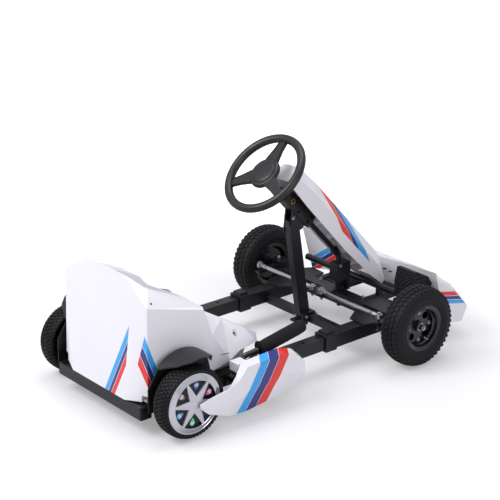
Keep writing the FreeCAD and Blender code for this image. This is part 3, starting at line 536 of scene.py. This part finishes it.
def turned(mesh, outline, centre, steps, side=1):
    # a closed (radius, y) outline spun round a wheel's axle, in millimetres; y grows to the side
    verts = [mesh.verts.new(at(centre[0], centre[1] + side * y, centre[2] + r)) for r, y in outline]
    edges = [mesh.edges.new((verts[i], verts[(i + 1) % len(verts)])) for i in range(len(verts))]
    bmesh.ops.spin(mesh, geom=verts + edges, cent=at(*centre), axis=(0, 1, 0), angle=math.tau, steps=steps,
                   use_merge=True)
    bmesh.ops.recalc_face_normals(mesh, faces=mesh.faces[:])


def lug(mesh, centre, turn, radius, y, size, skew, tilt):
    # one tread block: size is (round the tyre, across, high), its middle at the radius
    around = Matrix.Translation(at(*centre)) @ Matrix.Rotation(turn, 4, "Y")
    stand = Matrix.Translation((0.0, y * 0.001, radius * 0.001))
    lean = Matrix.Rotation(math.radians(tilt), 4, "X") @ Matrix.Rotation(math.radians(skew), 4, "Z")
    box = Matrix.Diagonal((size[0] * 0.001, size[1] * 0.001, size[2] * 0.001, 1.0))
    bmesh.ops.create_cube(mesh, size=1.0, matrix=around @ stand @ lean @ box)


def tyre_piece(name, outline, centre, side, count, lugs, body):
    # carcass and tread of one tyre: so many lugs of each kind round it
    tyre = bmesh.new()
    turned(tyre, outline, centre, 120, side)
    carcass = len(tyre.faces)
    for i in range(count):
        for start, *shape in lugs:
            lug(tyre, centre, math.tau * (i + start / 2) / count, *shape)
    tyre.faces.ensure_lookup_table()
    for face in tyre.faces[carcass:]:
        face.material_index = 1
    return new_piece(name, tyre, [rubber, dusty], body)


for side, word in SIDES:
    centre = (FRONT_X, side * FRONT_Y, FRONT_Z)
    piece = tyre_piece("front_tyre_tread_" + word, FRONT_OUTLINE, centre, 1, 44, FRONT_LUGS,
                       "front_wheel_" + word[0])
    soft = piece.modifiers.new("soft", "BEVEL")
    soft.width = 0.001
    soft.segments = 1
    soft.limit_method = "ANGLE"
    soft.angle_limit = math.radians(60)
    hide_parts("front_tyre_" + word)

# Front rims: pressed steel halves in gloss black enamel, with zinc bolts, a valve and a
# bearing with its axle nut in the middle.
RIM_DRUM = [(17, -10), (50, -10), (58, -6), (60, -10), (54, -16), (17, -16)]
RIM_LIP = [(57, 14), (62.6, 20), (64.4, 31), (71, 34.5), (75.6, 33.6), (75.6, 31.5), (66, 28), (62, 12),
           (57, 12)]
rim_black, rim_shader = finish("gloss_black_enamel", "#101013", 0.2)
rim_shader.inputs["Coat Weight"].default_value = 0.4
grain(rim_black, rim_shader, 6.0, 0.08, "#0C0C0F", "#15151A", (0.16, 0.28))
for side, word in SIDES:
    dress("front_rim_" + word, rim_black)
    centre = Vector((FRONT_X, side * FRONT_Y, FRONT_Z))
    out = Vector((0.0, side, 0.0))
    trim = bmesh.new()
    for i in range(4):
        turn = math.radians(90 * i)
        bolt_circle = Vector((math.cos(turn) * 46, 0, math.sin(turn) * 46))
        bolt(trim, centre + out * 8.2 + bolt_circle, out, 4.6, 4.0)
    disc(trim, at(*(centre + out * 17.8)), out, 13.0, 1.6, 32)
    disc(trim, at(*(centre + out * 19.4)), out, 10.5, 1.2, 32)
    valve = centre + Vector((30, 0, -47)) + out * 8
    disc(trim, at(*valve), (0.5, side * 1.0, -0.6), 3.0, 18.0, 12, 2.4)
    new_piece("front_rim_trim_" + word, trim, zinc, "front_wheel_" + word[0])
    nut = bmesh.new()
    disc(nut, at(*(centre + out * 26.2)), out, 8.5, 6.0, HEXAGON)
    disc(nut, at(*(centre + out * 32.2)), out, 5.2, 4.0, 20, 4.6)
    new_piece("front_axle_nut_" + word, nut, zinc, "knuckle_" + word[0])
    drum = bmesh.new()
    turned(drum, RIM_DRUM, centre, 60, side)
    new_piece("front_rim_inner_" + word, drum, rim_black, "front_wheel_" + word[0])
    ring = bmesh.new()
    turned(ring, RIM_LIP, centre, 72, side)
    new_piece("front_rim_lip_" + word, ring, rim_black, "front_wheel_" + word[0])

# Rear tyres: 8.5 inch, black rubber, fine all-weather tread of slanted bars with short side
# teeth, closer together than on the front tyres.
REAR_X, REAR_Y, REAR_Z = 0.0, 290.0, 110.0
REAR_OUTLINE = [
    (88, -21), (93.4, -22.6), (94, -29), (97, -31), (100, -30.2), (102, -27), (104, -20), (105.6, -10),
    (106, 0), (105.6, 10), (104, 20), (102, 27), (100, 30.2), (97, 31), (92, 29), (88, 26)]
REAR_LUGS = (
    (0.0, 107.0, 0.0, (7.2, 15.0, 4.6), 24.0, 0.0),
    (1.0, 106.6, -12.5, (6.8, 11.0, 4.4), -26.0, 3.0),
    (1.0, 106.6, 12.5, (6.8, 11.0, 4.4), -26.0, -3.0),
    (0.0, 103.8, -22.2, (7.6, 9.0, 4.8), 12.0, 16.0),
    (0.0, 103.8, 22.2, (7.6, 9.0, 4.8), 12.0, -16.0),
    (0.6, 99.8, -28.4, (7.0, 3.4, 6.0), 0.0, 24.0),
    (0.6, 99.8, 28.4, (7.0, 3.4, 6.0), 0.0, -24.0))
for side, word in SIDES:
    centre = (REAR_X, side * REAR_Y, REAR_Z)
    piece = tyre_piece("rear_tyre_tread_" + word, REAR_OUTLINE, centre, -side, 54, REAR_LUGS,
                       "rear_wheel_" + word[0])
    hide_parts("rear_tyre_" + word)

# Rear wheels: cast aluminium rim with a wide polished face and six tapered spokes over the
# black drum of the hub motor. A coloured lens sits in each window and a cap closes the hub.
SPOKES = 6
FIRST_WINDOW = 22  # degrees round the axle
BACK_OF_SPOKES = 27.0
RIM_FACE = [(93, 16), (93, 27), (92, 28.4), (89.6, 28.8), (88.2, 28.0), (86.6, 28.4), (75, 33.6),
            (73.4, 34), (72, 33.2), (71.6, 30), (71.6, 22), (86, 16)]
SPOKE_EDGE = ((FIRST_WINDOW, 25, 32.4), (49.4, 73, 33.0), (52, 73, 33.8), (54.6, 73, 33.0))
MOTOR_COVER = [(0.05, 26), (60, 26), (68, 25), (71.5, 22), (71.5, 12), (0.05, 12)]
HUB_CAP = [(0.05, 36.2), (5.0, 36.0), (9.0, 35.2), (11.0, 33.6), (11.4, 31.0), (0.05, 31.0)]
LENS_COLOURS = ["#C0427E", "#2F57B8", "#8E6A62", "#2F8FE0", "#58C48C", "#2C3F86"]
alloy, alloy_shader = finish("polished_cast_aluminium", "#D8D9E0", 0.12, 1.0)
grain(alloy, alloy_shader, 18.0, 0.05, "#C6C7D0", "#E6E6EC", (0.08, 0.2))
satin, satin_shader = finish("satin_silver_lacquer", "#D2D1DA", 0.34, 0.55)
grain(satin, satin_shader, 5.0, 0.06, "#CAC9D3", "#DCDBE3", (0.3, 0.4))
motor, motor_shader = finish("black_motor_enamel", "#0B0B0E", 0.34)
grain(motor, motor_shader, 3.0, 0.1)
lenses = []
for tint in LENS_COLOURS:
    lens, lens_shader = finish("lens_" + tint[1:], tint, 0.12)
    lens_shader.inputs["Coat Weight"].default_value = 0.8
    # a faint glow in the lens's own tint: painted light, as the lens is no lamp
    lens_shader.inputs["Emission Color"].default_value = linear(tint)
    lens_shader.inputs["Emission Strength"].default_value = 0.15
    grain(lens, lens_shader, 9.0, 0.1)
    # painted glow: a pale ring mixed into the tint at one distance from the axle, a painted highlight for
    # light coming through the lens
    place = add_node(lens, "ShaderNodeTexCoord")
    from_axle = add_node(lens, "ShaderNodeVectorMath", {
        0: place.outputs["Object"], 1: (-REAR_AXLE_X, 0.0, -REAR_Z * 0.001)}, operation="ADD")
    flat_way = add_node(lens, "ShaderNodeVectorMath", {
        0: from_axle.outputs[0], 1: (1.0, 0.0, 1.0)}, operation="MULTIPLY")
    reach = add_node(lens, "ShaderNodeVectorMath", {0: flat_way.outputs[0]}, operation="LENGTH")
    off_glow_ring = calc(lens, "ABSOLUTE", calc(lens, "SUBTRACT", reach.outputs["Value"], 0.058))
    painted_glow_core = add_node(lens, "ShaderNodeMapRange", {
        "Value": off_glow_ring, "From Min": 0.0, "From Max": 0.008, "To Min": 0.6, "To Max": 0.0},
        interpolation_type="SMOOTHSTEP")
    tint_and_glow = add_node(lens, "ShaderNodeMix", {
        "Factor": painted_glow_core.outputs[0], "A": linear(tint), "B": linear("#E4EEF2")}, data_type="RGBA")
    lens.node_tree.links.new(tint_and_glow.outputs["Result"], lens_shader.inputs["Base Color"])
    lenses.append(lens)


def on_face(centre, side, degrees, radius, w):
    # a point round the axle at a radius, w outwards along the axle
    turn = math.radians(degrees)
    return at(*(centre + Vector((math.cos(turn) * radius, side * w, math.sin(turn) * radius))))


for side, word in SIDES:
    dress("hub_motor_" + word, motor)
    centre = Vector((REAR_X, side * REAR_Y, REAR_Z))
    out = Vector((0.0, side, 0.0))
    # domed face: lip, cone and the ring that the spokes end in
    wheel = bmesh.new()
    turned(wheel, RIM_FACE, centre, 96, side)
    rim_faces = len(wheel.faces)
    # spokes: a star that rises to its heart
    heart = wheel.verts.new(on_face(centre, side, 0, 0, 35.0))
    heart_back = wheel.verts.new(on_face(centre, side, 0, 0, BACK_OF_SPOKES))
    front, back = [], []
    for i in range(SPOKES):
        for degrees, radius, w in SPOKE_EDGE:
            around = degrees + 360 // SPOKES * i
            front.append(wheel.verts.new(on_face(centre, side, around, radius, w)))
            back.append(wheel.verts.new(on_face(centre, side, around, radius, BACK_OF_SPOKES)))
    for i in range(len(front)):
        k = (i + 1) % len(front)
        wheel.faces.new((heart, front[i], front[k]))
        wheel.faces.new((heart_back, back[k], back[i]))
        wheel.faces.new((front[i], back[i], back[k], front[k]))
    bmesh.ops.recalc_face_normals(wheel, faces=wheel.faces[:])
    wheel.faces.ensure_lookup_table()
    for face in wheel.faces[rim_faces:]:
        face.material_index = 1
    piece = new_piece("rear_rim_face_" + word, wheel, [alloy, satin], "rear_wheel_" + word[0], 20)
    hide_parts("rear_rim_" + word)
    cover = bmesh.new()
    turned(cover, MOTOR_COVER, centre, 72, side)
    new_piece("motor_cover_" + word, cover, motor, "rear_wheel_" + word[0])
    # lenses: drops that widen away from the axle
    drops = bmesh.new()
    for i in range(SPOKES):
        turn = math.radians(FIRST_WINDOW + 360 / SPOKES * i)
        away = Vector((math.cos(turn), 0.0, math.sin(turn)))
        across = Vector((-math.sin(turn), 0.0, math.cos(turn)))
        before = len(drops.faces)
        for vert in bmesh.ops.create_uvsphere(drops, u_segments=24, v_segments=16, radius=1.0)["verts"]:
            u, v, w = vert.co
            spot = centre + away * (55.0 + 12.0 * v) + across * ((7.6 + 3.0 * v) * u) + out * (26.0 + 3.2 * w)
            vert.co = at(*spot)
        drops.faces.ensure_lookup_table()
        for face in drops.faces[before:]:
            face.material_index = i
    bmesh.ops.recalc_face_normals(drops, faces=drops.faces[:])
    new_piece("window_lenses_" + word, drops, lenses, "rear_wheel_" + word[0], 60)
    cap = bmesh.new()
    turned(cap, HUB_CAP, centre, 48, side)
    new_piece("hub_cap_" + word, cap, satin, "rear_wheel_" + word[0])

# Steering wheel: polyurethane foam over a steel ring, grained like leather. Three arms with
# a sunk panel each run in to a wide flat pad with a rounded rim.
RING_RADIUS, RING_DEPTH, HALF_RING = 129.5, 16, 13.5
PAD = [(0.05, 4.4), (30, 4.6), (35, 5.4), (37.6, 7.0), (38.6, 8.8), (40.4, 9.2), (42.6, 8.4), (46, 8.6),
       (49.4, 10.4), (52, 15), (52, 21), (48, 25), (22, 27), (20, 40), (0.05, 40)]
ARM_SECTIONS = ((44, 23, 9.0, 22), (84, 15.5, 9.5, 21), (121, 13.0, 10.5, 21))  # radius, half width, depths
wheel_foam, foam_shader = finish("grained_polyurethane", "#0F0F11", 0.36, sheen=0.6)
place = add_node(wheel_foam, "ShaderNodeTexCoord")
cells = add_node(wheel_foam, "ShaderNodeTexVoronoi", {"Vector": place.outputs["Object"], "Scale": 420.0})
creases = add_node(wheel_foam, "ShaderNodeBump", {
    "Height": cells.outputs["Distance"], "Strength": 0.25, "Distance": 0.0006})
wheel_foam.node_tree.links.new(creases.outputs["Normal"], foam_shader.inputs["Normal"])
worn = add_node(wheel_foam, "ShaderNodeMapRange", {
    "Value": cells.outputs["Distance"], "To Min": 0.28, "To Max": 0.46})
wheel_foam.node_tree.links.new(worn.outputs["Result"], foam_shader.inputs["Roughness"])


def spun(mesh, outline, steps):
    # a closed (radius, depth) outline in millimetres spun round Z, with depth counted down
    verts = [mesh.verts.new((r * 0.001, 0.0, -t * 0.001)) for r, t in outline]
    edges = [mesh.edges.new((verts[i], verts[(i + 1) % len(verts)])) for i in range(len(verts))]
    bmesh.ops.spin(mesh, geom=verts + edges, cent=(0, 0, 0), axis=(0, 0, 1), angle=math.tau, steps=steps,
                   use_merge=True)


def set_down(mesh, start, way):
    # moves what was drawn about Z into place: its depth then runs from the start along the way
    turn = Matrix(((-way.z, 0.0, -way.x), (0.0, 1.0, 0.0), (way.x, 0.0, -way.z))).to_4x4()
    bmesh.ops.transform(mesh, matrix=Matrix.Translation(at(*start)) @ turn, verts=mesh.verts[:])


helm = bmesh.new()
ring_turns = [math.tau * k / 24 for k in range(24)]
spun(helm, [(RING_RADIUS + HALF_RING * math.cos(turn), RING_DEPTH + HALF_RING * math.sin(turn))
            for turn in ring_turns], 120)
spun(helm, PAD, 72)
for degrees in (5.0, 125.0, 245.0):
    arm_turn = Matrix.Rotation(math.radians(degrees), 4, "Z")
    arm = []
    for r, half, t0, t1 in ARM_SECTIONS:
        corners = ((-half, t0), (half, t0), (half, t1), (-half, t1))
        arm.append([helm.verts.new(arm_turn @ Vector((r * 0.001, y * 0.001, -t * 0.001)))
                    for y, t in corners])
    tops = []
    for first, second in zip(arm, arm[1:]):
        for k in range(4):
            face = helm.faces.new((first[k], second[k], second[(k + 1) % 4], first[(k + 1) % 4]))
            if k == 0:
                tops.append(face)
    helm.faces.new(arm[0])
    helm.faces.new(arm[-1])
    bmesh.ops.inset_region(helm, faces=tops, thickness=0.0042, depth=0.0, use_even_offset=True)
    bmesh.ops.translate(helm, verts=list({v for f in tops for v in f.verts}), vec=(0, 0, -0.002))
bmesh.ops.recalc_face_normals(helm, faces=helm.faces[:])
set_down(helm, hub, axis_down)
piece = new_piece("steering_wheel_skin", helm, wheel_foam, "steering", 40)
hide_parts("steering_wheel")

# Column fittings: bronze bush on the bearing block, and black cap screws down both sides of
# the block, one of them in the middle of the bush.
bronze, bronze_shader = finish("sintered_bronze", "#9A7A4E", 0.35, 1.0)
grain(bronze, bronze_shader, 2.0, 0.15)
bush = bmesh.new()
disc(bush, at(*on_axis(160.0, 2.0, -22.2)), RIGHT, 9.5, 2.2, 32)
new_piece("bearing_bush", bush, bronze, "frame")
screws = bmesh.new()
for t, off in ((150, -12), (264, -12), (264, 12), (205, 12)):
    bolt(screws, on_axis(t, off, -22.0), RIGHT, 3.4, 3.0)
    bolt(screws, on_axis(t, off, 22.0), LEFT, 3.4, 3.0)
disc(screws, at(*on_axis(160, 2.0, -24.4)), RIGHT, 5.0, 1.0, HEXAGON)
new_piece("column_screws", screws, black_oxide, "frame")

# Tie rods: zinc plated tube with a threaded rod end at each end: lock nut, hexagon shank and
# a ball in the eye, held on its pin by a nut and washer.
PIN_X, TIE_Z = 753, 162
ARM_PIN_Y, KNUCKLE_PIN_Y = 22.0, 286.0


def pin_nut(mesh, y):
    # washer and nut on the pin, above the eye
    disc(mesh, at(PIN_X, y, 167.4), UP, 9.6, WASHER_THICK)
    disc(mesh, at(PIN_X, y, 168.8), UP, 6.4, 5.0, HEXAGON)


for side, word in SIDES:
    dress("tie_rod_" + word, zinc, 0.8)
    ends = bmesh.new()
    for y, way in ((side * ARM_PIN_Y, side), (side * KNUCKLE_PIN_Y, -side)):
        disc(ends, at(PIN_X, y + way * 24, TIE_Z), (0, way, 0), 7.6, 7.0, HEXAGON)
        disc(ends, at(PIN_X, y + way * 9, TIE_Z), (0, way, 0), 6.0, 15.0, 20, 7.2)
        disc(ends, at(PIN_X, y, 155.6), UP, 11.4, 12.8, 32)
    new_piece("rod_end_nuts_" + word, ends, zinc, "tie_" + word)
    knuckle_nut = bmesh.new()
    pin_nut(knuckle_nut, side * KNUCKLE_PIN_Y)
    disc(knuckle_nut, at(PIN_X, side * KNUCKLE_PIN_Y, 154.0), UP, 7.5, 2.6, 24, 5.5)
    bolt(knuckle_nut, (FRONT_X, side * 296, 160.2), UP, 3.0, 1.0)
    new_piece("knuckle_nut_" + word, knuckle_nut, zinc, "knuckle_" + word[0])
pitman_nuts = bmesh.new()
for y in (-ARM_PIN_Y, ARM_PIN_Y):
    pin_nut(pitman_nuts, y)
    disc(pitman_nuts, at(PIN_X, y, 139.0), UP, 6.4, 7.0, HEXAGON)
    disc(pitman_nuts, at(PIN_X, y, 134.0), UP, 3.9, 6.0, 16)
disc(pitman_nuts, at(848.5, -9.0, 267), RIGHT, 4.6, 3.4, HEXAGON)
disc(pitman_nuts, at(848.5, 9.0, 267), LEFT, 4.6, 3.4, HEXAGON)
new_piece("pitman_nuts", pitman_nuts, zinc, "pitman")
stub = bmesh.new()
disc(stub, at(852, 0, 98), (0, 0, -1), 10.0, 9.0, 32)
disc(stub, at(852, 0, 89), (0, 0, -1), 8.0, 9.0, HEXAGON)
new_piece("column_foot_nut", stub, powder_coat, "frame")

# Hand lever: two steel tubes bent side by side, in gloss black, with a foam grip that ends
# in a moulded collar.
GRIP_SKIN = [
    (9, 0), (22.4, 0), (24, 1.6), (24, 4.4), (22.6, 6), (20.6, 6.8), (20.2, 9), (20.7, 30), (21, 90),
    (20.7, 150), (20.2, 164), (18.6, 171), (15, 174.8), (8, 176), (0.05, 176), (0.05, 161.5), (9, 161.5)]
lever_gloss, lever_shader = finish("gloss_black_tube", "#0E0E10", 0.14)
lever_shader.inputs["Coat Weight"].default_value = 0.5
grain(lever_gloss, lever_shader, 8.0, 0.05, "#0B0B0D", "#141417")
dress("hand_lever", lever_gloss)
foam, grip_shader = finish("black_grip_foam", "#131315", 0.85, sheen=0.3)
grain(foam, grip_shader, 1.2, 0.5, "#101012", "#1A1A1D", (0.78, 0.92))
grip = bmesh.new()
spun(grip, GRIP_SKIN, 64)
bmesh.ops.recalc_face_normals(grip, faces=grip.faces[:])
grip_way = Vector((176.0, 0.0, 30.0)).normalized()
set_down(grip, Vector((286.0, -246.0, 166.0)) + grip_way * 14.0, grip_way)
piece = new_piece("foam_grip", grip, foam, "lever", 30)
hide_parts("lever_grip")

bpy.context.view_layer.update()
